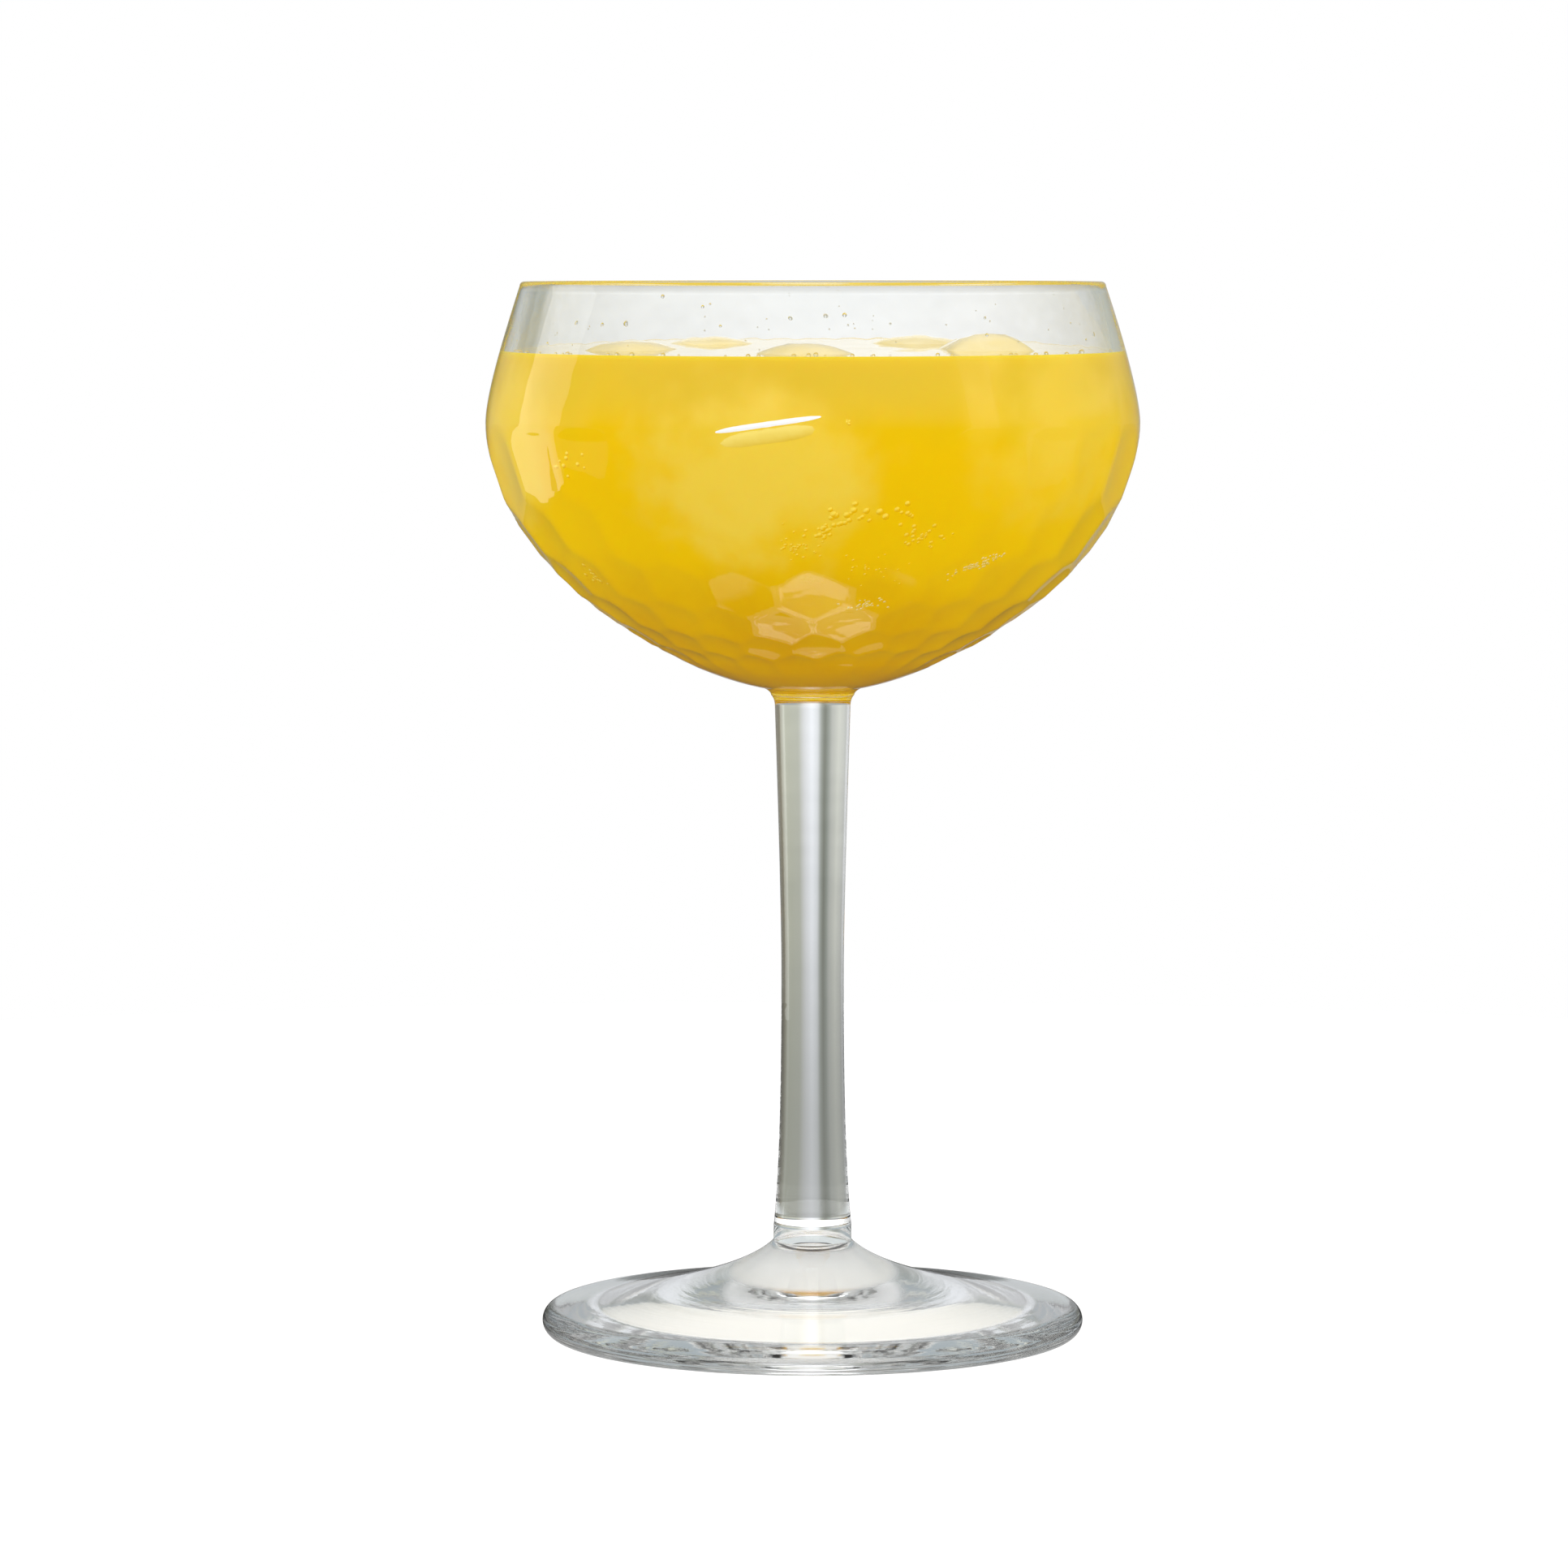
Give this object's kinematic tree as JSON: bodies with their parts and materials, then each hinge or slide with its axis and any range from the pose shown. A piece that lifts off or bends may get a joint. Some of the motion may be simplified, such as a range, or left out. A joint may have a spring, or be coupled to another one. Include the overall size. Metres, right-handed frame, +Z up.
{
  "type": "stemmed coupe glass",
  "caption": "Clear stemmed coupe glass with a hammered bowl, waisted solid stem and disc foot, holding a cloudy yellow drink in which ice cubes float and can be lifted out.",
  "frame": {"origin": "middle of the plane that the foot stands on, on the axis of the glass", "axes": "+Z up the axis of the stem, towards the mouth of the bowl; -Y towards the viewer of the picture"},
  "size_m": [0.1, 0.1, 0.162],
  "materials": {
    "clear_glass": "polished",
    "drink": "gloss",
    "ice": "gloss"
  },
  "bodies": {
    "glass": {"bowl": "clear_glass", "stem": "clear_glass", "foot": "clear_glass", "drink": "drink"},
    "front_ice": {"ice_cube_front": "ice"},
    "right_ice": {"ice_cube_right": "ice"},
    "back_right_ice": {"ice_cube_back_right": "ice"},
    "back_left_ice": {"ice_cube_back_left": "ice"},
    "left_ice": {"ice_cube_left": "ice"}
  },
  "joints": [
    {"name": "front_ice_lift", "type": "slide", "parent": "glass", "child": "front_ice", "axis": [0, 0, 1], "range_m": [0, 0.036]},
    {"name": "right_ice_lift", "type": "slide", "parent": "glass", "child": "right_ice", "axis": [0, 0, 1], "range_m": [0, 0.036]},
    {"name": "back_right_ice_lift", "type": "slide", "parent": "glass", "child": "back_right_ice", "axis": [0, 0, 1], "range_m": [0, 0.036]},
    {"name": "back_left_ice_lift", "type": "slide", "parent": "glass", "child": "back_left_ice", "axis": [0, 0, 1], "range_m": [0, 0.036]},
    {"name": "left_ice_lift", "type": "slide", "parent": "glass", "child": "left_ice", "axis": [0, 0, 1], "range_m": [0, 0.036]}
  ]
}
